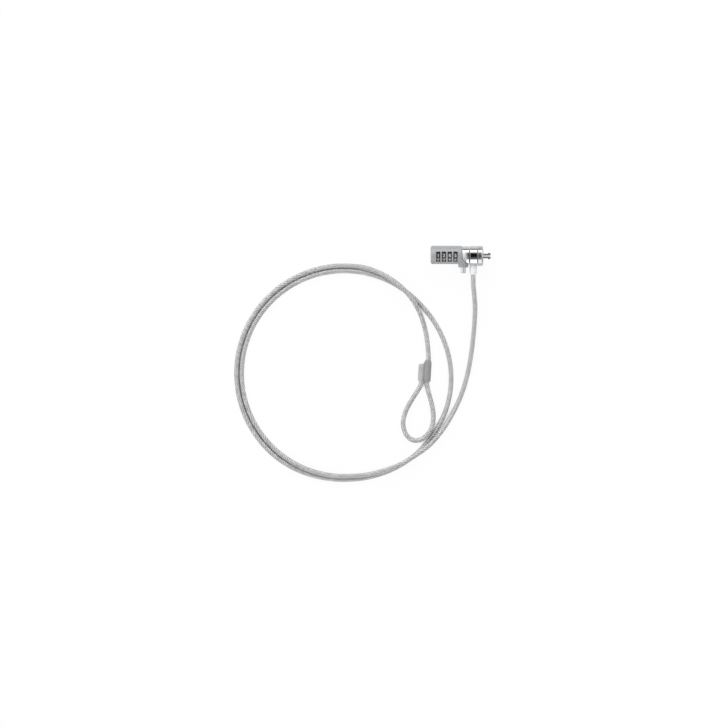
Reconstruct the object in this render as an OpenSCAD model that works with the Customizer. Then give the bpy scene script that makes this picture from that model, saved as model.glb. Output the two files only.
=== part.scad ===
// Laptop cable lock: four dial combination head, swivel collar and coiled steel cable.
// The X axis is the swivel axis, and the origin is the centre of the nose face.
// The hooks point along +X, the dial windows face +Z, and the cable leaves along -Y.
// The lock lies on a plane one nose radius below the axis.

/* [Head] */
// Radius of the nose, the swivel collar and the chrome shoulder
nose_r = 9.7; // [9.6:0.1:10]
// Radius of the case over the dials
case_r = 8.8; // [8.7:0.1:9]
// Distance from the nose face to the rear end of the case
head_len = 50.4; // [50.2:0.1:52]
// Sideways offset of the case axis from the swivel axis
case_off = 1.1; // [0.9:0.1:1.3]

/* [Dials] */
// Distance from one dial to the next
dial_pitch = 5.5; // [5.5:0.1:5.6]
// Width of one dial
dial_w = 4.8; // [4.6:0.1:4.8]
// Corner radius of the ten-sided dial
dial_r = 7.95; // [7.7:0.05:7.95]
// Width of a window in the case, along the axis
window_w = 4.1; // [3.6:0.1:4.3]

/* [Hooks and button] */
// How far the push button travels
button_travel = 2; // [1.8:0.1:2]
// Width over both hook heads, which passes a 7 mm slot
hooks_w = 6.3; // [6:0.1:6.6]
// Thickness of a hook, which passes a 3 mm slot
hook_t = 2.4; // [2.2:0.1:2.6]
// How far the hook heads stand out of the nose face
hook_reach = 7.3; // [7.2:0.1:7.6]

/* [Cable] */
// Diameter of the cable over its clear cover
cable_d = 4.5; // [4.3:0.1:4.5]
// Radius of the coil's inner turn, to the middle of the cable
coil_r = 98.7; // [98.5:0.1:99]
// Gap between the coil's turns
coil_gap = 0.5; // [0.45:0.05:0.55]

/* [Hidden] */
$fn = 64;
eps = 0.01;
run_gap = 0.05;             // radial clearance of a shaft, a button or the swivel

// Stations along the swivel axis, from the nose face back
cap_back = -5.25;           // rear face of the nose cap
neck_front = -1.6;          // front end of the neck, inside the nose cap
collar_x = [-12.95, -5.75]; // rear and front faces of the swivel collar
shoulder_x = [-21.3, -13.6];  // rear and front ends of the chrome shoulder
case_front = -21.5;         // front end of the case's straight bar, inside its flare
plate_x = [-23.8, -22.8];   // bearing plate
plate_screw_x = [-23.2, -21.45];   // underside of the heads and end of the holes
plate_screw = [4.6, 3.6];   // place of a plate screw from the case axis
plug_x = [-48.6, -46.3];    // flange of the rear plug
case_pin_x = [-47.5, -22];
neck_r = 6.0;
shoulder_r = nose_r - 0.1;
// Rings of the chrome shoulder: station, radius and sideways offset
shoulder_rings = [
    [shoulder_x[0], 8.35, 0.8], [-19, 9, 0.35], [-16.5, 9.38, 0.1], [-13.95, shoulder_r, 0],
    [shoulder_x[1] - 0.05, shoulder_r - 0.3, 0]
];
cavity_r = case_r - 0.8;
rear_x = -head_len;

// Dials
dial_count = 4;
dial_x = [for (i = [0:dial_count - 1]) -43.3 + i * dial_pitch];
face_tilt = 5;              // how far the shown digit face leans towards -Y
groove_w = 1.2;
groove_r = 7.0;
dial_bore = 4.6;
hub_r = dial_bore - run_gap;
gate_t = 0.8;
gate_slot_w = 1.9;
tooth_r = 3.2;
hub_bore = 3.5;
spindle_r = 1.8;
spindle_x = [-48.7, -19.8];
window_y = [-5.5, 4.1];

// Push button, along -Y from the side of the shoulder
button_x = -19.2;
button_r = 2.5;
button_y = [-16.6, -8.0];   // outer end and retaining flange
flange_r = 2.9;
stem_r = 1.5;
stem_top = -3.0;
boss_r = 4.65;
boss_y = -11.0;
bore_floor = -5.0;

// Slider: its ramp lies on the 45 degree line x + y = ramp_c
ramp_c = button_x - stem_r + stem_top + 0.15;
slider_t = 4.4;
slider_x = [-19.8, -15.8];
slider_y = [-5.6, 3.4];
blade_w = 1.6;
blade_tip = [-3.9, 0.3];    // station and half width of the blade's tip
blade_taper = 1.5;
spring_x = [-15.75, -11.05];

// Hooks
pivot = [-8.5, 2.6];
root_r = 1.4;
shank_y = [0.4, 2.2];       // inner and outer edges of a hook's shank
barb_x = 4.6;               // back of the hook's head
pin_r = 0.6;

// Ferrule and crimp sleeve
ferrule_x = -9.6;
ferrule_r = 3.6;
ferrule_y = [-18.2, -15.4];  // mouth and start of the taper
sleeve_c = [-56.05, -110.9];
sleeve_slope = 0.06;
sleeve_gap = 5.5;           // distance between the two cable bores
sleeve_turn = -atan(sleeve_slope);

floor_z = -nose_r;
rest_z = floor_z + cable_d / 2;   // height of the middle of a cable on the floor
sleeve_z = -5.95;
crimp_w = 10.9;
crimp_t = 5.4;
barrel_r = sleeve_z - floor_z;
barrel_x = 2.45;
lobe_r = 3.3;
lobe_x = -2.9;

// Cable from the ferrule to the coil: over the second turn near its end
lead_points = [
    [-9.6, -18.2, 0], [-9.6, -22.8, 0], [-9.5, -28, -0.1], [-8.7, -36, -0.9], [-7.7, -50, -3.2],
    [-8.6, -69, -6], [-10.9, -91, -7.3], [-14.7, -112.6, -7.4], [-20.5, -132.3, -7.3],
    [-28.8, -150.4, -6.7], [-38.8, -166.8, -5], [-51.1, -181.1, -3.1], [-66, -192, -2.2],
    [-81.5, -201.1, -2.2], [-98.3, -206.9, -2.6]
];
// Cable from the coil over the first turn to the crimp sleeve
tail_points = [
    [-115.4, -10.6, -6.1], [-98.4, -16.5, -3.9], [-83.2, -25.9, -2.4], [-70.7, -38, -2.3],
    [-61.7, -52.6, -4.4], [-56.2, -68.1, -6.9], [-53.5, -83, -6.6], [-52.4, -96, -5.95],
    [-52.7, -101, -5.95]
];
// Eye: through the sleeve, round with its far side up on the coil, and back into the sleeve
eye_points = [
    [-53.3, -111, -5.95], [-53.9, -121, -5.95], [-53.3, -127, -6], [-51.4, -134.5, -6.2],
    [-49, -143.5, -6.3], [-47.8, -152.3, -5.8], [-48.2, -160.2, -4.9], [-50.4, -167, -4.2],
    [-54.4, -172.4, -4.3], [-59.6, -176.1, -5.5], [-65.4, -177.2, -6.7], [-70.8, -175, -7.4],
    [-75, -169.3, -7.4], [-76.9, -160.2, -7.4], [-74.7, -150.2, -7.4], [-70.2, -141, -7.2],
    [-64.5, -131.8, -6.6], [-60.9, -126, -6.1], [-59.6, -121.5, -5.95], [-58.8, -111, -5.95],
    [-58.5, -105.6, -5.95]
];

// Coil: 24 rings a turn, wound clockwise seen from above
coil_c = [-133.4, -112.8];
coil_from = 285;
ring_step = 15;
coil_steps = 37;
coil_pitch = cable_d + coil_gap;
stack = cable_d + 0.5;      // least distance between two middles of the cable

// ---------- helpers ----------

// Cylinder along X from station a to station b
module xcyl(r, a, b, y = 0) {
    translate([a, y, 0])
        rotate([0, 90, 0])
            cylinder(r = r, h = b - a);
}

// Cylinder along Y from a to b
module ycyl(r, a, b, x = 0) {
    translate([x, a, 0])
        rotate([-90, 0, 0])
            cylinder(r = r, h = b - a);
}

// Cylinder along Z from a to b
module zcyl(r, a, b, x = 0, y = 0) {
    translate([x, y, a])
        cylinder(r = r, h = b - a);
}

// Block from one corner to the other
module block(low, high) {
    translate(low)
        cube(high - low);
}

// Bar along X with a rounded edge at its rear end a, or at its front end b
module xbar(r, a, b, round_a = 0, round_b = 0, y = 0) {
    translate([0, y, 0])
        rotate([0, 90, 0])
            rotate_extrude()
                half_bar(r, a, b, round_a, round_b);
}

// Half outline of a bar: radius to the right, length upwards
module half_bar(r, a, b, round_a, round_b) {
    translate([0, a + round_a])
        square([r, b - a - round_a - round_b]);
    if (round_a > 0) {
        translate([0, a])
            square([r - round_a, round_a + eps]);
        translate([r - round_a, a + round_a])
            intersection() {
                circle(r = round_a);
                translate([-eps, -round_a])
                    square([round_a + eps, round_a + eps]);
            }
    }
    if (round_b > 0) {
        translate([0, b - round_b - eps])
            square([r - round_b, round_b + eps]);
        translate([r - round_b, b - round_b])
            intersection() {
                circle(r = round_b);
                translate([-eps, -eps])
                    square([round_b + eps, round_b + eps]);
            }
    }
}

// Rectangle with round corners, from one corner to the other
module round_rect(low, high, r) {
    translate([low.x + r, low.y])
        square([high.x - low.x - 2 * r, high.y - low.y]);
    translate([low.x, low.y + r])
        square([high.x - low.x, high.y - low.y - 2 * r]);
    for (x = [low.x + r, high.x - r], y = [low.y + r, high.y - r])
        translate([x, y])
            circle(r = r);
}

// Outline with round ends, w wide over all and t thick
module obround(w, t) {
    square([w - t, t], center = true);
    for (s = [-1, 1])
        translate([s * (w - t) / 2, 0])
            circle(d = t);
}

// ---------- case ----------

// Clearance for the button's shank and its retaining flange
module button_bore() {
    ycyl(button_r + run_gap, boss_y - 1, button_y[1], button_x);
    ycyl(flange_r + 0.1, button_y[1] - run_gap, 0, button_x);
}

// The scoop that uncovers the chrome shoulder: straight at the +Y side, then a round
// corner and a straight flank down to the boot's tip
module scoop() {
    mid = [-16.8, -1.5];
    r = 4;
    tip = [-14.5, -9.6];
    reach = norm(mid - tip);
    a = asin(r / reach) + atan2(mid.x - tip.x, -(mid.y - tip.y)) - 180;
    touch = tip + sqrt(reach * reach - r * r) * [-sin(a), cos(a)];
    translate([0, 0, -12])
        linear_extrude(24) {
            translate(mid)
                circle(r = r);
            polygon([tip, touch, mid, [mid.x - r, mid.y], [mid.x - r, 12], [-8, 12], [-8, tip.y]]);
        }
}

// The shoulder's tapered body, grown by a clearance all round
module shoulder(grow) {
    hull($fn = 128)
        for (ring = shoulder_rings)
            xcyl(ring[1] + grow, ring[0], ring[0] + 0.05, ring[2]);
}

// Flare that carries the case over to the button's boss
module boot() {
    hull() {
        xcyl(case_r, -22.75, -22.65, case_off);
        xcyl(10.2, -15, -14.9, -0.55);
    }
}

// Round boss of the button, with a hollow fillet that runs into the case
module boss() {
    translate([button_x, 0, 0])
        rotate([-90, 0, 0])
            rotate_extrude()
                polygon([[0, boss_y], [boss_r - 0.4, boss_y], [boss_r, boss_y + 0.4], [boss_r, -9.8],
                    [5.05, -8], [5.9, -6.2], [7.3, -4], [7.9, -3.2], [0, -3.2]]);
}

module case_shell() {
    color("silver")
        difference() {
            union() {
                xbar(case_r, rear_x, case_front, 1.8, 0, case_off);
                boot();
                boss();
            }
            xcyl(cavity_r, plug_x[0], shoulder_x[0], case_off);
            xcyl(6.6, rear_x - 1, plug_x[0] + eps, case_off);
            shoulder(0.1);
            scoop();
            button_bore();
            for (x = dial_x)
                translate([x, 0, 3])
                    linear_extrude(8)
                        round_rect([-window_w / 2, window_y[0]], [window_w / 2, window_y[1]], 0.4);
            case_pin_holes();
        }
}

module case_pin_holes() {
    for (x = case_pin_x)
        zcyl(pin_r, -case_r - 1, -5.8, x, case_off);
}

module case_pins() {
    color("gray")
        for (x = case_pin_x)
            zcyl(pin_r - 0.005, -8.6, -5.9, x, case_off);
}

module rear_plug() {
    color("silver")
        difference() {
            union() {
                xcyl(cavity_r - 0.05, plug_x[0] + eps, plug_x[1], case_off);
                xbar(6.55, rear_x + 0.1, plug_x[0] + 0.1, 0.3, 0, case_off);
            }
            xcyl(spindle_r + run_gap, -48.9, plug_x[1] + 1, case_off);
            xcyl(2.05, rear_x - 1, -49.3, case_off);
            xcyl(0.85, -49.4, -48.8, case_off);
            case_pin_holes();
        }
}

module reset_screw() {
    color("dimgray")
        difference() {
            union() {
                xcyl(2.0, rear_x + 0.2, -49.35, case_off);
                xcyl(0.8, -49.4, -48.95, case_off);
            }
            block([rear_x, case_off - 0.3, -3], [rear_x + 0.7, case_off + 0.3, 3]);
        }
}

// ---------- front barrel ----------

module front_barrel() {
    color("gainsboro")
        difference() {
            union() {
                xcyl(cavity_r - 0.05, plate_x[1] + eps, shoulder_x[0], case_off);
                shoulder(0);
                xcyl(neck_r, shoulder_x[1] - eps, neck_front);
            }
            // channel of the slider
            block([plate_x[1] - 1, slider_y[0] - 0.1, -slider_t / 2 - 0.1],
                [-13.5, slider_y[1] + 0.1, slider_t / 2 + 0.1]);
            xcyl(2.4, -14, -11);
            xcyl(1.25, -12, -9);
            // slot of the hooks, open at the neck's front end
            block([-10, -pivot.y - root_r - 0.15, -hook_t / 2 - 0.1],
                [0, pivot.y + root_r + 0.15, hook_t / 2 + 0.1]);
            for (s = [-1, 1])
                zcyl(pin_r, -7, 7, pivot.x, s * pivot.y);
            ycyl(flange_r + 0.1, -12, bore_floor, button_x);
            for (s = [-1, 1])
                translate([0, s * plate_screw.x, s * plate_screw.y])
                    xcyl(0.8, plate_x[1] - 1, plate_screw_x[1], case_off);
            zcyl(0.8, -12, -3, -3.6, 0);
            case_pin_holes();
        }
}

module bearing_plate() {
    color("darkgray")
        difference() {
            xcyl(cavity_r - 0.05, plate_x[0], plate_x[1], case_off);
            xcyl(spindle_r + run_gap, plate_x[0] - 1, plate_x[1] + 1, case_off);
            xcyl(hub_bore, plate_x[0] - 1, plate_screw_x[0], case_off);
            for (s = [-1, 1])
                translate([0, s * plate_screw.x, s * plate_screw.y]) {
                    xcyl(0.8, plate_x[0] - 1, plate_x[1] + 1, case_off);
                    xcyl(1.35, plate_x[0] - 1, plate_screw_x[0], case_off);
                }
        }
}

module plate_screws() {
    color("gray")
        for (s = [-1, 1])
            translate([0, s * plate_screw.x, s * plate_screw.y])
                difference() {
                    union() {
                        xcyl(1.3, plate_x[0] + 0.05, plate_screw_x[0], case_off);
                        xcyl(0.79, plate_screw_x[0] - 0.1, plate_screw_x[1] - 0.05, case_off);
                    }
                    block([plate_x[0], case_off - 0.2, -2], [plate_x[0] + 0.3, case_off + 0.2, 2]);
                }
}

module nose_cap() {
    color("gainsboro")
        difference() {
            xbar(nose_r, cap_back, 0, 0.3, 1.8);
            xcyl(neck_r + 0.01, cap_back - 1, neck_front + 0.01);
            translate([-3, 0, 0])
                rotate([90, 0, 90])
                    linear_extrude(4)
                        round_rect([-3.8, -1.8], [3.8, 1.8], 0.5);
            zcyl(0.8, -12, -5, -3.6, 0);
        }
}

module nose_pin() {
    color("gray")
        zcyl(0.79, -9.3, -3.1, -3.6, 0);
}

// ---------- dials ----------

// Ten-sided dial with a groove at each corner and two keyways in its bore
module dial(x) {
    color([0.13, 0.13, 0.14])
        translate([x, case_off, 0])
            rotate([0, 90, 0])
                difference() {
                    intersection() {
                        // a flat face turns to the window: +Z, leaning towards -Y
                        rotate(180 - 18 + face_tilt)
                            cylinder(r = dial_r, h = dial_w, center = true, $fn = 10);
                        union() {
                            cylinder(r = 7.85, h = dial_w - 0.5, center = true);
                            for (s = [0, 1])
                                mirror([0, 0, s])
                                    translate([0, 0, dial_w / 2 - 0.26])
                                        cylinder(r1 = 7.85, r2 = 7.6, h = 0.26);
                        }
                    }
                    for (i = [0:9])
                        rotate(180 - 18 + face_tilt + 36 * i)
                            translate([groove_r, -groove_w / 2, -dial_w])
                                cube([2, groove_w, 2 * dial_w]);
                    cylinder(r = dial_bore, h = 2 * dial_w, center = true);
                    for (i = [0, 1])
                        rotate(90 + 180 * i)
                            translate([0, -0.55, -dial_w])
                                cube([5, 1.1, 2 * dial_w]);
                }
}

// Hub inside a dial: its gate lets the spindle's tooth pass at one angle only
module clutch_hub(x) {
    color("goldenrod")
        translate([x, case_off, 0])
            rotate([0, 90, 0])
                difference() {
                    union() {
                        cylinder(r = hub_r, h = dial_w, center = true);
                        for (i = [0, 1])
                            rotate(90 + 180 * i)
                                translate([0, -0.5, -dial_w / 2])
                                    cube([4.9, 1, dial_w]);
                    }
                    translate([0, 0, -dial_w])
                        cylinder(r = hub_bore, h = 1.5 * dial_w - gate_t);
                    cylinder(r = spindle_r + run_gap, h = 2 * dial_w, center = true);
                    translate([0, -gate_slot_w / 2, -dial_w])
                        cube([hub_bore - 0.1, gate_slot_w, 2 * dial_w]);
                }
}

module dial_washers() {
    color("lightsteelblue")
        for (i = [0:dial_count])
            difference() {
                xcyl(cavity_r - 0.1, dial_x[0] + (i - 0.5) * dial_pitch - 0.2,
                    dial_x[0] + (i - 0.5) * dial_pitch + 0.2, case_off);
                xcyl(5.1, dial_x[0] + (i - 0.5) * dial_pitch - 1,
                    dial_x[0] + (i - 0.5) * dial_pitch + 1, case_off);
            }
}

// ---------- locking works ----------

// Rod through the dials, with one tooth behind each gate
module spindle() {
    color("slategray") {
        xbar(spindle_r, spindle_x[0], spindle_x[1], 0.3, 0, case_off);
        xcyl(1.2, spindle_x[1] - eps, spindle_x[1] + 1.5, case_off);
        for (x = dial_x)
            block([x + 0.7, case_off - 0.8, -tooth_r], [x + 1.5, case_off + 0.8, 0]);
    }
}

module slider() {
    color("darkgray")
        difference() {
            union() {
                translate([0, 0, -slider_t / 2])
                    linear_extrude(slider_t)
                        polygon([[ramp_c - slider_y[0], slider_y[0]], [slider_x[1], slider_y[0]],
                            [slider_x[1], slider_y[1]], [slider_x[0], slider_y[1]],
                            [slider_x[0], ramp_c - slider_x[0]]]);
                translate([0, 0, -blade_w / 2])
                    linear_extrude(blade_w)
                        polygon([[slider_x[1] - eps, -blade_w / 2], [blade_tip.x - blade_taper, -blade_w / 2],
                            [blade_tip.x, -blade_tip.y], [blade_tip.x, blade_tip.y],
                            [blade_tip.x - blade_taper, blade_w / 2], [slider_x[1] - eps, blade_w / 2]]);
            }
            xcyl(1.21, slider_x[0] - 1, slider_x[0] + 1.6, case_off);
        }
}

// Compression spring round the blade
module return_spring() {
    curls = 5;
    rings = 8 * curls;
    mean_r = 1.85;
    wire = 0.42;
    path = [for (i = [0:rings])
        [spring_x[0] + wire / 2 + (spring_x[1] - spring_x[0] - wire) * i / rings,
            mean_r * cos(45 * i), mean_r * sin(45 * i)]];
    color("lightgray")
        tube(path, wire / 2, 6, 0, rings);
}

module push_button() {
    color("gainsboro")
        difference() {
            union() {
                translate([button_x, 0, 0])
                    rotate([-90, 0, 0])
                        rotate_extrude()
                            half_bar(button_r, button_y[0], button_y[1] + eps, 0.5, 0);
                ycyl(flange_r, button_y[1], button_y[1] + 0.7, button_x);
                ycyl(stem_r, button_y[1], stem_top, button_x);
            }
            // ramp on the stem's top, facing +X and +Y
            translate([button_x - stem_r, stem_top, -3])
                rotate(-45)
                    cube([5, 4, 6]);
        }
}

// One hook of the pair, s = 1 on the +Y side and s = -1 on the -Y side
module hook(s) {
    head = hooks_w / 2;
    color("gray")
        mirror([0, s < 0 ? 1 : 0, 0])
            difference() {
                translate([0, 0, -hook_t / 2])
                    linear_extrude(hook_t) {
                        translate(pivot)
                            circle(r = root_r);
                        polygon([[pivot.x, pivot.y - root_r], [-3.9, 1.05], [-3.3, shank_y[0]],
                            [hook_reach - 1.4, shank_y[0]], [hook_reach, 0.95], [hook_reach, 1.7],
                            [hook_reach - 1.2, head], [barb_x + 0.5, head], [barb_x, head - 0.3],
                            [barb_x, shank_y[1]], [-4, shank_y[1]], [-7.6, 3.67]]);
                    }
                zcyl(pin_r + run_gap, -3, 3, pivot.x, pivot.y);
            }
}

module hook_pins() {
    color("dimgray")
        for (s = [-1, 1])
            zcyl(pin_r - 0.005, -5, 5, pivot.x, s * pivot.y);
}

// ---------- swivel and cable fittings ----------

module swivel_collar() {
    color("gainsboro")
        difference() {
            xbar(nose_r, collar_x[0], collar_x[1], 0.3, 0.3);
            xcyl(neck_r + run_gap, collar_x[0] - 1, collar_x[1] + 1);
            ycyl(2.65, -12, -6.9, ferrule_x);
        }
}

module cable_ferrule() {
    r = ferrule_r;
    mouth = ferrule_y[0];
    color("gainsboro") {
        difference() {
            translate([ferrule_x, 0, 0])
                rotate([-90, 0, 0])
                    rotate_extrude()
                        polygon([[0, mouth], [r - 1.2, mouth], [r - 0.75, mouth + 0.35],
                            [r - 0.3, mouth + 1.5], [r - 0.07, mouth + 2.2], [r, ferrule_y[1]],
                            [r, -8], [0, -8]]);
            xcyl(nose_r + 0.01, -20, 0);
        }
        ycyl(2.6, -10, -7.0, ferrule_x);
    }
}

// The two sleeve pieces are drawn with X across the bores and Z along them
module at_sleeve() {
    translate([sleeve_c.x, sleeve_c.y, sleeve_z])
        rotate([0, 0, sleeve_turn])
            rotate([-90, 0, 0])
                children();
}

module sleeve_bore(x, from, to) {
    translate([x, 0, from])
        cylinder(r = cable_d / 2 + 0.1, h = to - from);
}

module crimp_sleeve() {
    color("dimgray")
        at_sleeve()
            difference() {
                translate([0, 0, -7.5])
                    linear_extrude(13)
                        obround(crimp_w, crimp_t);
                for (s = [-1, 1])
                    sleeve_bore(s * sleeve_gap / 2, -8, 7);
            }
}

// Moulded cover: a full barrel over the main cable and a lower lobe over its end
module sleeve_cover() {
    color([0.62, 0.63, 0.65])
        at_sleeve()
            difference() {
                union() {
                    translate([barrel_x, 0, -9.3])
                        cylinder(r = barrel_r, h = 18.3);
                    translate([barrel_x + 0.2, 0, 8.9])
                        cylinder(r1 = 3.3, r2 = 2.7, h = 2.5);
                    translate([lobe_x, 0, 0])
                        rotate_extrude()
                            polygon([[0, -9], [lobe_r - 0.5, -9], [lobe_r, -8.5], [lobe_r, 5.6],
                                [lobe_r - 0.4, 6.6], [lobe_r - 1.3, 7.3], [0, 7.3]]);
                    translate([lobe_x, 1 - lobe_r, -8.9])
                        cube([barrel_x - lobe_x, 2 * lobe_r - 2, 15.5]);
                }
                translate([0, 0, -7.6])
                    linear_extrude(13.2)
                        obround(crimp_w + 0.1, crimp_t + 0.1);
                sleeve_bore(-sleeve_gap / 2, -12, 0);
                sleeve_bore(sleeve_gap / 2, -12, 12);
            }
}

// ---------- cable ----------

// Catmull-Rom curve through the points, k steps to each span
function spline(p, k) = [
    for (i = [0:len(p) - 2], j = [0:k - 1])
        let (a = p[max(i - 1, 0)], b = p[i], c = p[i + 1], d = p[min(i + 2, len(p) - 1)], t = j / k)
            0.5 * (2 * b + (c - a) * t + (2 * a - 5 * b + 4 * c - d) * t * t
                + (3 * b - a - 3 * c + d) * t * t * t),
    p[len(p) - 1]];

function smooth(t) = let (u = min(max(t, 0), 1)) u * u * (3 - 2 * u);

// Radius of the coil after it has wound through angle a
function turn_r(a) =
    coil_r
    + 1.2 * pow(max(1 - a / 15, 0), 2)
    + coil_pitch * smooth((a - 235) / 70)
    - (abs(a - 375) < 45 ? 1.7 * pow(cos(2 * (a - 375)), 2) : 0);

// Height at which the first turn rides on the second
function turn_lift(a) =
    a > 360 + coil_steps * ring_step - 720 ? 0
    : let (apart = turn_r(a + 360) - turn_r(a)) sqrt(max(stack * stack - apart * apart, 0));

function coil_point(a) =
    let (phi = coil_from - a)
        [coil_c.x + turn_r(a) * cos(phi), coil_c.y + turn_r(a) * sin(phi), rest_z + turn_lift(a)];

coil_path = [for (i = [0:coil_steps]) coil_point(i * ring_step)];
lead_path = spline(concat(lead_points, [coil_path[0]]), 2);
tail_path = spline(concat([coil_path[coil_steps]], tail_points), 2);
lead_end = len(lead_path) - 1;
coil_end = lead_end + coil_steps;
tail_end = coil_end + len(tail_path) - 1;
cable_path = concat([for (i = [0:lead_end - 1]) lead_path[i]], coil_path,
    [for (i = [1:len(tail_path) - 1]) tail_path[i]], eye_points);
cable_end = len(cable_path) - 1;

// Distance from point q to the segment from a to b
function to_segment(q, a, b) =
    let (ab = b - a, l = ab * ab, t = l > 0 ? min(max((q - a) * ab / l, 0), 1) : 0)
        norm(q - a - t * ab);

// Least gap from the cable to itself, leaving out each point's own neighbourhood
near = 4 * cable_d;
run = [for (i = 0, s = 0; i <= cable_end;
    i = i + 1, s = s + norm(cable_path[min(i, cable_end)] - cable_path[i - 1])) s];
least_gap = min([for (i = [0:cable_end], j = [1:cable_end])
    if (abs(run[i] - run[j]) > near && abs(run[i] - run[j - 1]) > near)
        to_segment(cable_path[i], cable_path[j - 1], cable_path[j])]) - cable_d;
echo(cable_length = run[cable_end], least_gap = least_gap);

// Direction of the path at point i
function heading(p, i) =
    let (d = p[min(i + 1, len(p) - 1)] - p[max(i - 1, 0)]) d / norm(d);

// Ring of n points round point i, one of them straight below it
function ring(p, i, r, n) =
    let (t = heading(p, i), up = abs(t.z) > 0.9 ? [1, 0, 0] : [0, 0, 1],
        side = cross(t, up) / norm(cross(t, up)), top = cross(side, t))
            [for (k = [0:n - 1]) p[i] + r * (cos(360 * k / n - 90) * side + sin(360 * k / n - 90) * top)];

// Closed tube of n sides along a path, from point a to point b
module tube(p, r, n, a, b) {
    m = b - a + 1;
    points = [for (i = [a:b]) each ring(p, i, r, n)];
    walls = [for (i = [0:m - 2], k = [0:n - 1])
        let (c = i * n + k, d = i * n + (k + 1) % n)
            each [[c, d, d + n], [c, d + n, c + n]]];
    start = [for (k = [1:n - 2]) [0, k + 1, k]];
    end = [for (k = [1:n - 2]) [(m - 1) * n, (m - 1) * n + k, (m - 1) * n + k + 1]];
    polyhedron(points, concat(walls, start, end));
}

module cable(n, a, b) {
    color("lightgray")
        tube(cable_path, cable_d / 2, n, a, b);
}

module cable_lead() { cable(8, 0, lead_end); }
module cable_coil() { cable(6, lead_end, coil_end); }
module cable_tail() { cable(8, coil_end, tail_end); }
module cable_eye() { cable(8, tail_end, cable_end); }

case_shell();
rear_plug();
reset_screw();
case_pins();
front_barrel();
bearing_plate();
plate_screws();
nose_cap();
nose_pin();
dial(dial_x[0]);  // dial_1
dial(dial_x[1]);  // dial_2
dial(dial_x[2]);  // dial_3
dial(dial_x[3]);  // dial_4
clutch_hub(dial_x[0]);  // clutch_hub_1
clutch_hub(dial_x[1]);  // clutch_hub_2
clutch_hub(dial_x[2]);  // clutch_hub_3
clutch_hub(dial_x[3]);  // clutch_hub_4
dial_washers();
spindle();
slider();
return_spring();
push_button();
hook(1);  // hook_upper
hook(-1);  // hook_lower
hook_pins();
swivel_collar();
cable_ferrule();
cable_lead();
cable_coil();
cable_tail();
cable_eye();
crimp_sleeve();
sleeve_cover();
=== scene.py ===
"""Laptop cable lock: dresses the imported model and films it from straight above.

Named lengths are millimetres, as in the part's source, unless MM or a comment makes them metres,
and angles are degrees. The swivel axis is X with the rear of the lock at -X, the dials' windows face
+Z, and the button and the cable leave along -Y.
"""

import math

import bmesh
import bpy
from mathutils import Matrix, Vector


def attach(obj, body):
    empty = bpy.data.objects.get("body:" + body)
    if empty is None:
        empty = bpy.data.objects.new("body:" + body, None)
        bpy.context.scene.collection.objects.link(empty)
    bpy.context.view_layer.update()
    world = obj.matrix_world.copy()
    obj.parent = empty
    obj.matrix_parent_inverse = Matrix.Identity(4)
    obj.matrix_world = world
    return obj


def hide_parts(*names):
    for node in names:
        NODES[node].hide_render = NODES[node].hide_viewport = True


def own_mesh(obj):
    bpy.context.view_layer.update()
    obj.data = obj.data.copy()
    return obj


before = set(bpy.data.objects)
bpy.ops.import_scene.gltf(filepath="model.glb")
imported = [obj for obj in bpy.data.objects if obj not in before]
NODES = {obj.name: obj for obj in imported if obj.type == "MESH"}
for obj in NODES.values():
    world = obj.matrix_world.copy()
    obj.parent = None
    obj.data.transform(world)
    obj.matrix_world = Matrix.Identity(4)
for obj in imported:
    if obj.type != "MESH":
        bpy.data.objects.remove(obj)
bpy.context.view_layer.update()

MM = 0.001
FLOOR_Z = -9.7  # the table, one nose radius below the swivel axis


def add_object(name, data):
    """New object with this mesh, curve or camera, in the scene."""
    obj = bpy.data.objects.new(name, data)
    bpy.context.scene.collection.objects.link(obj)
    return obj


# ---------- camera ----------

FRAME_PX = 727  # width and height of the photograph
ORIGIN_PX = (483.2, 256.05)  # the frame's origin in the photograph, from its upper left corner
PIXEL = 0.96 * MM  # size of one pixel on the table
DISTANCE = 4.0  # metres
SENSOR = 36.0
camera = add_object("camera", bpy.data.cameras.new("camera"))
bpy.context.scene.camera = camera
camera.data.sensor_width = SENSOR
camera.data.lens = SENSOR * DISTANCE / (FRAME_PX * PIXEL)
camera.data.clip_end = 20.0
camera.location = ((FRAME_PX / 2 - ORIGIN_PX[0]) * PIXEL, (ORIGIN_PX[1] - FRAME_PX / 2) * PIXEL, DISTANCE)


# ---------- cable: the same route as its solids ----------

CABLE_D = 4.5
REST_Z = FLOOR_Z + CABLE_D / 2  # middle of a cable on the table
# from the ferrule to the coil, over the second turn near its end
LEAD = [
    (-9.6, -18.2, 0), (-9.6, -22.8, 0), (-9.5, -28, -0.1), (-8.7, -36, -0.9), (-7.7, -50, -3.2),
    (-8.6, -69, -6), (-10.9, -91, -7.3), (-14.7, -112.6, -7.4), (-20.5, -132.3, -7.3),
    (-28.8, -150.4, -6.7), (-38.8, -166.8, -5), (-51.1, -181.1, -3.1), (-66, -192, -2.2),
    (-81.5, -201.1, -2.2), (-98.3, -206.9, -2.6),
]
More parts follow.
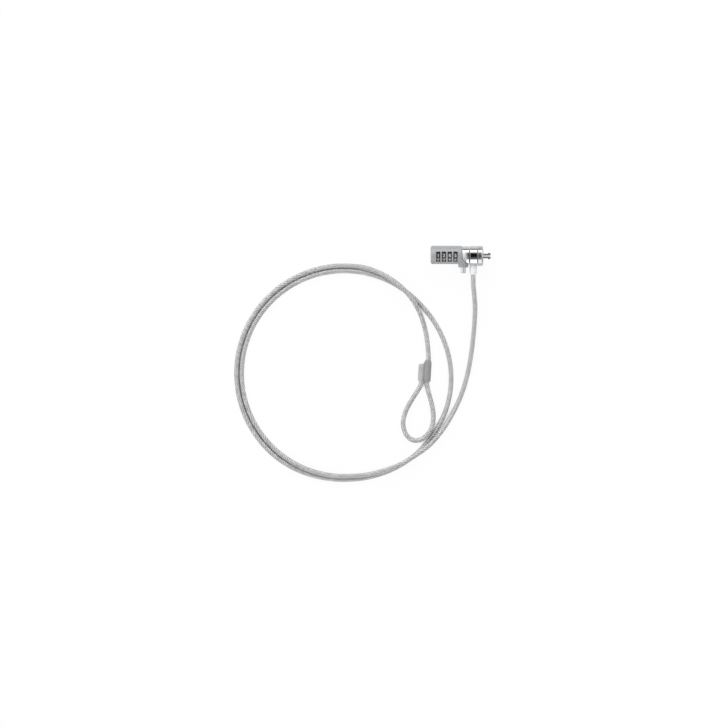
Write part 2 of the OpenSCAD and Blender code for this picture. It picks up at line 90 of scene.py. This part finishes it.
# from the coil over the first turn, through the sleeve, round the eye and back into the sleeve
TAIL = [
    (-115.4, -10.6, -6.1), (-98.4, -16.5, -3.9), (-83.2, -25.9, -2.4), (-70.7, -38, -2.3),
    (-61.7, -52.6, -4.4), (-56.2, -68.1, -6.9), (-53.5, -83, -6.6), (-52.4, -96, -5.95),
    (-52.7, -101, -5.95), (-53.3, -111, -5.95), (-53.9, -121, -5.95), (-53.3, -127, -6),
    (-51.4, -134.5, -6.2), (-49, -143.5, -6.3), (-47.8, -152.3, -5.8), (-48.2, -160.2, -4.9),
    (-50.4, -167, -4.2), (-54.4, -172.4, -4.3), (-59.6, -176.1, -5.5), (-65.4, -177.2, -6.7),
    (-70.8, -175, -7.4), (-75, -169.3, -7.4), (-76.9, -160.2, -7.4), (-74.7, -150.2, -7.4),
    (-70.2, -141, -7.2), (-64.5, -131.8, -6.6), (-60.9, -126, -6.1), (-59.6, -121.5, -5.95),
    (-58.8, -111, -5.95), (-58.5, -105.6, -5.95),
]
COIL_CENTRE = (-133.4, -112.8)
COIL_R = 98.7  # of its first turn, which is the inner one
COIL_GAP = 0.5
COIL_PITCH = CABLE_D + COIL_GAP  # from one turn to the next
COIL_FROM = 285  # where it begins, counted from +X; it winds clockwise seen from above
COIL_TURN = 555  # how far it winds
START_WIDER, START_TURN = 1.2, 15  # it begins this much wider, and comes in over this angle
STEP_FROM, STEP_TURN = 235, 70  # where it steps out to the second turn, and over what angle
TUCK, TUCK_AT, TUCK_TURN = 1.7, 375, 45  # the second turn tucks in under the first, from both sides
STACK = CABLE_D + 0.5  # least distance between two middles of the cable


def smooth(t):
    """0 before 0, 1 after 1, smooth between."""
    t = min(max(t, 0.0), 1.0)
    return t * t * (3 - 2 * t)


def turn_r(a):
    """Radius of the coil after it has wound through a degrees."""
    r = COIL_R + START_WIDER * max(1 - a / START_TURN, 0) ** 2
    r += COIL_PITCH * smooth((a - STEP_FROM) / STEP_TURN)
    if abs(a - TUCK_AT) < TUCK_TURN:
        r -= TUCK * math.cos(math.radians(90 / TUCK_TURN * (a - TUCK_AT))) ** 2
    return r


def coil_point(a):
    """Middle of the cable after a degrees, lifted where the first turn rides on the second."""
    lift = 0.0
    if a <= COIL_TURN - 360:
        apart = turn_r(a + 360) - turn_r(a)
        lift = math.sqrt(max(STACK**2 - apart**2, 0))
    phi = math.radians(COIL_FROM - a)
    r = turn_r(a)
    return (COIL_CENTRE[0] + r * math.cos(phi), COIL_CENTRE[1] + r * math.sin(phi), REST_Z + lift)


def spline(points, steps):
    """Catmull-Rom curve through the points, with this many steps from each to the next."""
    out = []
    for i in range(len(points) - 1):
        a, b = points[max(i - 1, 0)], points[i]
        c, d = points[i + 1], points[min(i + 2, len(points) - 1)]
        for j in range(steps):
            t = j / steps
            out.append(0.5 * (2 * b + (c - a) * t + (2 * a - 5 * b + 4 * c - d) * t**2
                              + (3 * b - a - 3 * c + d) * t**3))
    out.append(points[-1])
    return out


coil = [Vector(coil_point(a)) for a in range(COIL_TURN + 1)]
before = spline([Vector(p) for p in LEAD] + [coil[0]], steps=10)
after = spline([coil[-1]] + [Vector(p) for p in TAIL], steps=8)
route = [p * MM for p in before[:-1] + coil + after[1:]]

STRANDS = 6
STRAND_POINTS = 4  # corners of the rope's section on one strand
STRAND_DEPTH = 0.2 * MM  # from a strand's crown to the valley beside it, half of it above the radius
LAY = 19 * MM  # length in which a strand winds once round
UV_PER_METRE = 100  # U counts centimetres


def axes_along(path):
    """For each point of a path, two axes across it, carried along untwisted, and the length so far."""
    last = len(path) - 1
    tangents = [(path[min(i + 1, last)] - path[max(i - 1, 0)]).normalized() for i in range(last + 1)]
    normal = tangents[0].cross(Vector((0, 0, 1))).normalized()
    length = 0.0
    axes = []
    for i, tangent in enumerate(tangents):
        normal = (normal - tangent * normal.dot(tangent)).normalized()
        if i:
            length += (path[i] - path[i - 1]).length
        axes.append((normal, tangent.cross(normal), length))
    return axes


def strand_height(k):
    """Height of corner k of the rope's section over its radius."""
    across = 2 * (k % STRAND_POINTS) / STRAND_POINTS - 1
    return STRAND_DEPTH * (math.sqrt(1 - across * across) - 0.5)


def rope(name, path, radius):
    """Twisted rope along a path. U runs along it, and V runs once round it and turns with the strands."""
    sides = STRANDS * STRAND_POINTS
    reach = [radius + strand_height(k) for k in range(sides)]
    axes = axes_along(path)
    verts = []
    for middle, (normal, side, length) in zip(path, axes):
        for k in range(sides):
            a = 2 * math.pi * (k / sides + length / LAY)
            verts.append(middle + reach[k] * (math.cos(a) * normal + math.sin(a) * side))
    u = [length * UV_PER_METRE for _, _, length in axes]
    faces, uvs = [], []
    for i in range(len(path) - 1):
        here, beyond = i * sides, (i + 1) * sides
        for k in range(sides):
            n = (k + 1) % sides
            faces.append((here + k, here + n, beyond + n, beyond + k))
            v, v_next = k / sides, (k + 1) / sides
            uvs += [(u[i], v), (u[i], v_next), (u[i + 1], v_next), (u[i + 1], v)]
    end = (len(path) - 1) * sides
    faces += [tuple(reversed(range(sides))), tuple(range(end, end + sides))]
    uvs += [(0, k / sides) for k in reversed(range(sides))]
    uvs += [(u[-1], k / sides) for k in range(sides)]
    mesh = bpy.data.meshes.new(name)
    mesh.from_pydata(verts, [], faces)
    layer = mesh.uv_layers.new(name="UVMap")
    layer.data.foreach_set("uv", [x for uv in uvs for x in uv])
    mesh.polygons.foreach_set("use_smooth", [True] * (len(faces) - 2) + [False] * 2)
    return add_object(name, mesh)


cable = rope("cable", route, CABLE_D / 2 * MM)
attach(cable, "collar_and_cable")
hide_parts("cable_lead", "cable_coil", "cable_tail", "cable_eye")


# ---------- materials ----------

class Tree:
    """A node tree, with short calls for the nodes used here."""

    def __init__(self, tree):
        self.tree = tree

    def fill(self, socket, value):
        """Gives an input its value, or links it where the value is another node's output."""
        if hasattr(value, "is_output"):
            self.tree.links.new(value, socket)
        else:
            socket.default_value = value

    def node(self, kind, values=None, **settings):
        """New node, with values for its inputs by name or number."""
        new = self.tree.nodes.new(kind)
        for key, value in settings.items():
            setattr(new, key, value)
        for key, value in (values or {}).items():
            self.fill(new.inputs[key], value)
        return new

    def math(self, operation, a, b=0.0, c=0.0):
        return self.node("ShaderNodeMath", {0: a, 1: b, 2: c}, operation=operation).outputs[0]

    def times(self, a, b):
        return self.math("MULTIPLY", a, b)


class Material(Tree):
    """A new material, with its shader in bsdf and textures that follow the object."""

    def __init__(self, name):
        self.material = bpy.data.materials.new(name)
        self.material.use_nodes = True
        super().__init__(self.material.node_tree)
        self.bsdf = self.tree.nodes["Principled BSDF"]
        self.place = self.node("ShaderNodeTexCoord")

    def parts(self, source="Object"):
        """X, Y and Z of the place on the object, in metres, or of its UV."""
        return self.node("ShaderNodeSeparateXYZ", {"Vector": self.place.outputs[source]}).outputs

    def noise(self, scale, detail=3.0, stretch=(1, 1, 1)):
        """Noise with about this many spots to a metre, fewer along an axis whose stretch is under 1."""
        where = self.node("ShaderNodeMapping", {"Vector": self.place.outputs["Object"], "Scale": stretch})
        values = {"Vector": where.outputs[0], "Scale": scale, "Detail": detail}
        return self.node("ShaderNodeTexNoise", values).outputs["Fac"]

    def ramp(self, fac, *stops):
        """Colour by fac, from stops of a position and a colour."""
        node = self.node("ShaderNodeValToRGB", {"Fac": fac})
        elements = node.color_ramp.elements
        while len(elements) < len(stops):
            elements.new(0.5)
        for element, (position, colour) in zip(elements, stops):
            element.position = position
            element.color = (*colour, 1.0)
        return node.outputs["Color"]

    def range(self, value, low, high, from_low=0.3, from_high=0.7):
        """low where the value is from_low, high where it is from_high."""
        values = {"Value": value, "From Min": from_low, "From Max": from_high,
                  "To Min": low, "To Max": high}
        return self.node("ShaderNodeMapRange", values).outputs["Result"]

    def mix(self, share, a, b):
        """Colour a, and b where the share is 1."""
        values = {"Factor": share, "A": a, "B": b}
        return self.node("ShaderNodeMix", values, data_type="RGBA").outputs["Result"]

    def bump(self, height, distance, strength):
        values = {"Height": height, "Distance": distance, "Strength": strength}
        return self.node("ShaderNodeBump", values).outputs["Normal"]

    def surface(self, **sockets):
        """Fills the shader's inputs, named with _ for a space, and gives the material."""
        for key, value in sockets.items():
            self.fill(self.bsdf.inputs[key.replace("_", " ")], value)
        return self.material


def grey(v, tint=0.0):
    """Linear colour of an even grey, v as seen from 0 to 255, slightly cool with tint above 0."""
    c = v / 255
    lin = c / 12.92 if c <= 0.04045 else ((c + 0.055) / 1.055) ** 2.4
    return (lin * (1 - tint), lin, lin * (1 + tint))


def paint():
    """Silver paint with a fine grain, slightly uneven in tone and gloss."""
    g = Material("silver_paint")
    fine = g.noise(5200, 2)
    broad = g.noise(160, 4)
    mixed = g.math("ADD", g.times(fine, 0.6), g.times(broad, 0.4))
    colour = g.ramp(mixed, (0.35, grey(154, 0.03)), (0.5, grey(167, 0.03)), (0.65, grey(180, 0.03)))
    return g.surface(Base_Color=colour, Metallic=0.35, Roughness=g.range(broad, 0.40, 0.52),
                     Normal=g.bump(fine, 0.00002, 0.35))


GROOVE_R = (8.8 * MM, 9.1 * MM)  # from the swivel axis: all groove, and all outer surface
GROOVE_X = (-13.8 * MM, -4 * MM)  # rear and front ends of the stretch with grooves
# painted shade: the grooves of the nose are painted this dark grey, as shade falls in them
GROOVE_SHADE_GREY = 80
GROOVE_ROUGH = 0.35


def chrome(name, level, rough, lines=0.00001, metal=1.0):
    """Plated metal, turned about the lock's axis; it is duller in the grooves of the nose, which are
    painted dark there as shade.
    """
    g = Material(name)
    turned = g.noise(2600, 2, stretch=(1, 0.06, 0.06))
    broad = g.noise(240)
    colour = g.ramp(broad, (0.3, grey(level - 8, 0.01)), (0.7, grey(level, 0.01)))
    x, y, z = g.parts()
    radius = g.math("SQRT", g.math("ADD", g.times(y, y), g.times(z, z)))
    # painted shade: where this mask is 1, the grooves are painted dark grey as shade, and made duller
    groove = g.range(radius, 1.0, 0.0, *GROOVE_R)
    groove = g.times(groove, g.math("GREATER_THAN", x, GROOVE_X[0]))
    groove = g.times(groove, g.math("LESS_THAN", x, GROOVE_X[1]))
    shine = g.math("MAXIMUM", g.range(broad, rough, rough + 0.04), g.times(groove, GROOVE_ROUGH))
    return g.surface(Base_Color=g.mix(groove, colour, (*grey(GROOVE_SHADE_GREY), 1)), Metallic=metal,
                     Roughness=shine, Normal=g.bump(turned, lines, 0.3))


def steel(name, level, rough):
    """Steel brushed along the lock's axis."""
    g = Material(name)
    brushed = g.noise(3000, stretch=(0.1, 1, 1))
    colour = g.ramp(brushed, (0.3, grey(level - 22)), (0.7, grey(level + 14)))
    return g.surface(Base_Color=colour, Metallic=1.0, Roughness=g.range(brushed, rough, rough + 0.12),
                     Normal=g.bump(brushed, 0.00002, 0.4))


def plastic(name, level, rough, spread=5, specular=0.5):
    """Moulded plastic or paint with a fine grain."""
    g = Material(name)
    grain = g.noise(2400)
    broad = g.noise(200)
    colour = g.ramp(broad, (0.3, grey(level - spread)), (0.7, grey(level + spread)))
    return g.surface(Base_Color=colour, Roughness=g.range(grain, rough, rough + 0.12),
                     Specular_IOR_Level=specular, Normal=g.bump(grain, 0.00002, 0.5))


SLEEVE_SLOPE = 0.06  # the sleeve leans this much from the Y axis
PAINTED_LIGHT_X = (-51.7 * MM, -50.2 * MM)  # along that lean to y = 0: painted lit up to here, and painted shaded from here


def sleeve_plastic():
    """Grey moulded cover, painted paler towards one end as light and darker towards the other as shade.
    """
    g = Material("sleeve_plastic")
    grain = g.noise(2400)
    broad = g.noise(200)
    x, y, _ = g.parts()
    painted_light_share = g.range(g.math("SUBTRACT", x, g.times(y, SLEEVE_SLOPE)), 1.0, 0.0, *PAINTED_LIGHT_X)
    # painted light and shade: a shaded grey and a lit grey of the one plastic, split along the lean
    dark = g.ramp(broad, (0.3, grey(141)), (0.7, grey(151)))
    painted_lit_grey = g.ramp(broad, (0.3, grey(166)), (0.7, grey(177)))
    return g.surface(Base_Color=g.mix(painted_light_share, dark, painted_lit_grey), Roughness=g.range(grain, 0.36, 0.5),
                     Normal=g.bump(grain, 0.00002, 0.5))


def brass():
    """Brass turned about the lock's axis."""
    g = Material("brass")
    turned = g.noise(2600, 2, stretch=(1, 0.1, 0.1))
    colour = g.ramp(turned, (0.3, (0.50, 0.35, 0.13)), (0.7, (0.66, 0.49, 0.21)))
    return g.surface(Base_Color=colour, Metallic=1.0, Roughness=g.range(turned, 0.25, 0.4),
                     Normal=g.bump(turned, 0.00002, 0.4))


WIRES = 9.0  # seen in one strand over a centimetre of rope
WIRE_LEAN = 0.8  # how far the wires lean across a strand


def wire_rope():
    """Twisted steel wire seen through a clear, smooth cover, with painted highlights on its strands and
    wires and painted shade between them.
    """
    g = Material("covered_wire_rope")
    u, v, _ = g.parts("UV")
    strand = g.math("FRACT", g.times(v, STRANDS))
    across = g.math("SUBTRACT", g.times(strand, 2.0), 1.0)
    crown = g.math("SQRT", g.math("SUBTRACT", 1.0, g.times(across, across)))
    wire = g.math("FRACT", g.math("ADD", g.times(u, WIRES), g.times(across, WIRE_LEAN)))
    wire = g.math("PINGPONG", wire, 0.5)
    height = g.math("ADD", crown, g.times(wire, 0.5))
    # painted light and shade: crowns of the strands and wires painted pale as highlights, the valleys
    # between them dark as shade, with a random mottle in tone
    mottled_painted_relief_shade = g.times(height, g.range(g.noise(420, 2), 0.4, 0.6))
    colour = g.ramp(mottled_painted_relief_shade, (0.05, grey(68)), (0.25, grey(142)), (0.5, grey(188)), (0.7, grey(232)))
    return g.surface(Base_Color=colour, Metallic=0.35, Roughness=0.42, Coat_Weight=0.4,
                     Coat_Roughness=0.18, Normal=g.bump(wire, 0.00012, 0.6))


PAINT = paint()
CHROME = chrome("chrome", 204, 0.04, 0.000003)
NOSE_CHROME = chrome("nose_chrome", 192, 0.2)
BUTTON_CHROME = chrome("button_chrome", 215, 0.24)
FERRULE_METAL = chrome("ferrule_metal", 240, 0.42, metal=0.05)
HOOK_STEEL = steel("hook_steel", 164, 0.3)
INNER_STEEL = steel("inner_steel", 150, 0.3)
DIAL = plastic("dial_plastic", 56, 0.22, specular=0.9)
NUMBER = plastic("number_paint", 225, 0.5)
WASHER = plastic("washer_plastic", 60, 0.5)
SLEEVE_METAL = plastic("crimp_metal", 140, 0.35, 8)
SLEEVE_PLASTIC = sleeve_plastic()
BRASS = brass()
ROPE = wire_rope()

# the material of each node but the cable's
DRESS = {
    "case_shell": PAINT, "rear_plug": PAINT, "front_barrel": CHROME, "nose_cap": NOSE_CHROME,
    "swivel_collar": CHROME, "cable_ferrule": FERRULE_METAL, "push_button": BUTTON_CHROME,
    "reset_screw": INNER_STEEL, "case_pins": INNER_STEEL, "bearing_plate": INNER_STEEL,
    "plate_screws": INNER_STEEL, "nose_pin": INNER_STEEL, "spindle": INNER_STEEL,
    "slider": INNER_STEEL, "return_spring": INNER_STEEL, "hook_pins": INNER_STEEL,
    "hook_upper": HOOK_STEEL, "hook_lower": HOOK_STEEL,
    "dial_washers": WASHER, "crimp_sleeve": SLEEVE_METAL, "sleeve_cover": SLEEVE_PLASTIC,
    **{f"dial_{i}": DIAL for i in range(1, 5)}, **{f"clutch_hub_{i}": BRASS for i in range(1, 5)},
}


def put_on(obj, material):
    """Makes this the object's only material."""
    obj.data.materials.clear()
    obj.data.materials.append(material)


# nodes with loose facets, and the slots of the copies that stand for them
FACETED = {"case_shell": "case_paint", "front_barrel": "bright_chrome", "return_spring": "inner_steel"}
JOIN_WITHIN = 0.002 * MM
SHARP_FROM = 28  # an edge between two facets stays sharp from here
SHARP_FROM_ON_CASE = 12


def smooth_copy(name, body):
    """The node's own shape with its facets joined, so that light runs smoothly over it."""
    bm = bmesh.new()
    bm.from_mesh(NODES[name].data)
    bmesh.ops.remove_doubles(bm, verts=bm.verts, dist=JOIN_WITHIN)
    mesh = bpy.data.meshes.new(f"{name}_skin")
    bm.to_mesh(mesh)
    bm.free()
    skin = add_object(f"{name}_skin", mesh)
    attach(skin, body)
    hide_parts(name)
    return skin


for name, material in DRESS.items():
    piece = smooth_copy(name, "lock_head") if name in FACETED else NODES[name]
    put_on(piece, material)
    sharp_from = SHARP_FROM_ON_CASE if name == "case_shell" else SHARP_FROM
    piece.data.shade_smooth()
    piece.data.set_sharp_from_angle(angle=math.radians(sharp_from))
    if name == "return_spring":
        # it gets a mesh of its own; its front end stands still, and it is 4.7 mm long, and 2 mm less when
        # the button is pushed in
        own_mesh(piece)
put_on(cable, ROPE)


# ---------- numbers on the dials ----------

FIRST_DIAL_X = -43.3
DIAL_PITCH = 5.5
DIAL_Y = 1.1  # of the dials' axis
FACE_R = 7.57  # from a dial's axis to one of its ten faces
FACES = 10
FACE_TILT = 5  # of the face that shows, towards the button's side
SHOWN = [1, 2, 8, 5]
FONT_SIZE = 4.3  # gives digits about 3 mm high
FONT_BOLD = 0.02
NUMBER_T = 0.03  # half thickness of a digit


def digit_mesh(digit):
    """Corners and faces of one digit, about its own middle."""
    curve = bpy.data.curves.new(f"digit_{digit}", "FONT")
    curve.body = str(digit)
    curve.align_x, curve.align_y = "CENTER", "CENTER"
    curve.size = FONT_SIZE * MM
    curve.offset = FONT_BOLD * MM
    curve.extrude = NUMBER_T * MM
    curve.resolution_u = 4
    obj = add_object("digit", curve)
    bpy.context.view_layer.update()
    mesh = obj.evaluated_get(bpy.context.evaluated_depsgraph_get()).to_mesh()
    corners = [v.co.copy() for v in mesh.vertices]
    faces = [tuple(p.vertices) for p in mesh.polygons]
    low = [min(c[i] for c in corners) for i in (0, 1)]
    high = [max(c[i] for c in corners) for i in (0, 1)]
    shift = Vector(((low[0] + high[0]) / 2, (low[1] + high[1]) / 2, 0))
    corners = [c - shift for c in corners]
    bpy.data.objects.remove(obj)
    bpy.data.curves.remove(curve)
    return corners, faces


DIGITS = [digit_mesh(d) for d in range(FACES)]


def ring_of_digits(name, x, shown):
    """The ten digits round a dial at x, with the shown one in its window."""
    corners, faces = [], []
    for k in range(FACES):
        a = math.radians(FACE_TILT + 360 / FACES * k)
        out = Vector((0, -math.sin(a), math.cos(a)))
        up = Vector((0, math.cos(a), math.sin(a)))
        centre = Vector((x, DIAL_Y, 0)) * MM + out * FACE_R * MM
        shape, sides = DIGITS[(shown + k) % FACES]
        first = len(corners)
        corners += [centre + Vector((c.x, 0, 0)) + up * c.y + out * c.z for c in shape]
        faces += [tuple(first + i for i in f) for f in sides]
    mesh = bpy.data.meshes.new(name)
    mesh.from_pydata(corners, [], faces)
    return add_object(name, mesh)


for number, shown in enumerate(SHOWN, 1):
    x = FIRST_DIAL_X + DIAL_PITCH * (number - 1)
    numbers = ring_of_digits(f"dial_{number}_numbers", x, shown)
    put_on(numbers, NUMBER)
    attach(numbers, f"code_dial_{number}")


# ---------- table ----------

TABLE = ((-3, -3), (3, -3), (3, 3), (-3, 3))  # its corners, in metres
WHITE_SHARE = 0.94  # of plain white in what the camera sees of the open table
SHADE_REACH = 6 * MM  # how near the cable has to be to darken the table between its turns
SHADE_OPEN = (0.15, 0.5)  # share of open sky at which the table is all dark, and not darkened

floor_mesh = bpy.data.meshes.new("floor")
floor_mesh.from_pydata([(x, y, FLOOR_Z * MM) for x, y in TABLE], [], [(0, 1, 2, 3)])
floor = add_object("floor", floor_mesh)
g = Material("white_table")
colour = g.ramp(g.noise(40), (0.3, (0.93, 0.93, 0.93)), (0.7, (0.95, 0.95, 0.95)))
put_on(floor, g.surface(Base_Color=colour, Roughness=0.9, Specular_IOR_Level=0.0))
# the camera, metal and glass see most of the table as plain white, and the rest keeps the shadow
ray = g.node("ShaderNodeLightPath").outputs
looked_at = g.math("MAXIMUM", ray["Is Glossy Ray"], ray["Is Transmission Ray"])
looked_at = g.math("MAXIMUM", ray["Is Camera Ray"], looked_at)
white = g.node("ShaderNodeEmission", {"Color": (1, 1, 1, 1), "Strength": 1.0}).outputs[0]
# deep in the gap between two turns of the cable the table stays in shadow
open_sky = g.node("ShaderNodeAmbientOcclusion", {"Distance": SHADE_REACH}).outputs["AO"]
share = g.times(looked_at, g.range(open_sky, 0.0, WHITE_SHARE, *SHADE_OPEN))
mixed = g.node("ShaderNodeMixShader", {0: share, 1: g.bsdf.outputs[0], 2: white})
g.tree.links.new(mixed.outputs[0], g.tree.nodes["Material Output"].inputs["Surface"])


# ---------- light ----------

# All light comes from the world and differs by direction. DX, DY and DZ mark a place along one part
# of the direction: a pair is where an edge in the light begins and where it ends.
EVEN = 1.1  # about the strength at which a colour renders as it is written
MORE_PER_DY, MORE_PER_DX = 0.6, -0.3
LEAST = 0.05
FAR_BANK_DY = (0.4, 0.75)
FAR_BANK = 0.65
NEAR_BANK_DY, NEAR_BANK_DX = (-0.72, -0.55), (0.15, 0.3)
NEAR_BANK = 1.3
PANEL_DX = ((-0.32, -0.05), (0.12, 0.2))
PANEL_DY = ((-0.45, -0.1), (0.42, 0.85))
PANEL_DZ = (0.0, 0.2)
DIM_DY = (-0.82, -0.5)
DIM = 0.8
STRIP_DY, STRIP_DZ = (0.8, 0.9), (0.22, 0.32)
DARKEST = 0.99

world = bpy.data.worlds.new("studio")
bpy.context.scene.world = world
world.use_nodes = True
world.node_tree.nodes.clear()
sky = Tree(world.node_tree)


def edge(value, low, high):
    """0 below low, 1 above high, smooth between."""
    return sky.node("ShaderNodeMapRange", {"Value": value, "From Min": low, "From Max": high},
                    interpolation_type="SMOOTHSTEP").outputs["Result"]


def fall(value, low, high):
    """1 below low, 0 above high, smooth between."""
    return sky.math("SUBTRACT", 1.0, edge(value, low, high))


generated = sky.node("ShaderNodeTexCoord").outputs["Generated"]
dx, dy, dz = sky.node("ShaderNodeSeparateXYZ", {"Vector": generated}).outputs
# even light, which grows towards the lock's far side and its rear
level = sky.math("MULTIPLY_ADD", dy, MORE_PER_DY, EVEN)
level = sky.math("MAXIMUM", sky.math("MULTIPLY_ADD", dx, MORE_PER_DX, level), LEAST)
# a bright bank low on the far side
level = sky.math("MULTIPLY_ADD", edge(dy, *FAR_BANK_DY), FAR_BANK, level)
# and one on the button's side, short along the lock's axis
near_bank = sky.times(fall(dy, *NEAR_BANK_DY), fall(sky.math("ABSOLUTE", dx), *NEAR_BANK_DX))
level = sky.math("MULTIPLY_ADD", near_bank, NEAR_BANK, level)
# a dark panel overhead, long across the lock's axis and less dark towards the button's side
black = sky.times(edge(dy, *PANEL_DY[0]), fall(dy, *PANEL_DY[1]))
dim = sky.times(sky.times(edge(dy, *DIM_DY), fall(dy, *PANEL_DY[0])), DIM)
panel = sky.times(edge(dx, *PANEL_DX[0]), fall(dx, *PANEL_DX[1]))
panel = sky.times(sky.times(panel, sky.math("ADD", black, dim)), edge(dz, *PANEL_DZ))
# and a thin dark strip low on the far side
strip = sky.times(edge(dy, *STRIP_DY), fall(dz, *STRIP_DZ))
dark = sky.math("MAXIMUM", panel, strip)
level = sky.times(level, sky.math("MULTIPLY_ADD", dark, -DARKEST, 1.0))
# the camera sees plain white
seen = sky.node("ShaderNodeLightPath").outputs["Is Camera Ray"]
strength = sky.node("ShaderNodeMix", {"Factor": seen, "A": level, "B": 1.0}, data_type="FLOAT")
back = sky.node("ShaderNodeBackground", {"Color": (1, 1, 1, 1), "Strength": strength.outputs[0]})
sky.node("ShaderNodeOutputWorld", {"Surface": back.outputs[0]})

bpy.context.scene.view_settings.view_transform = "Standard"
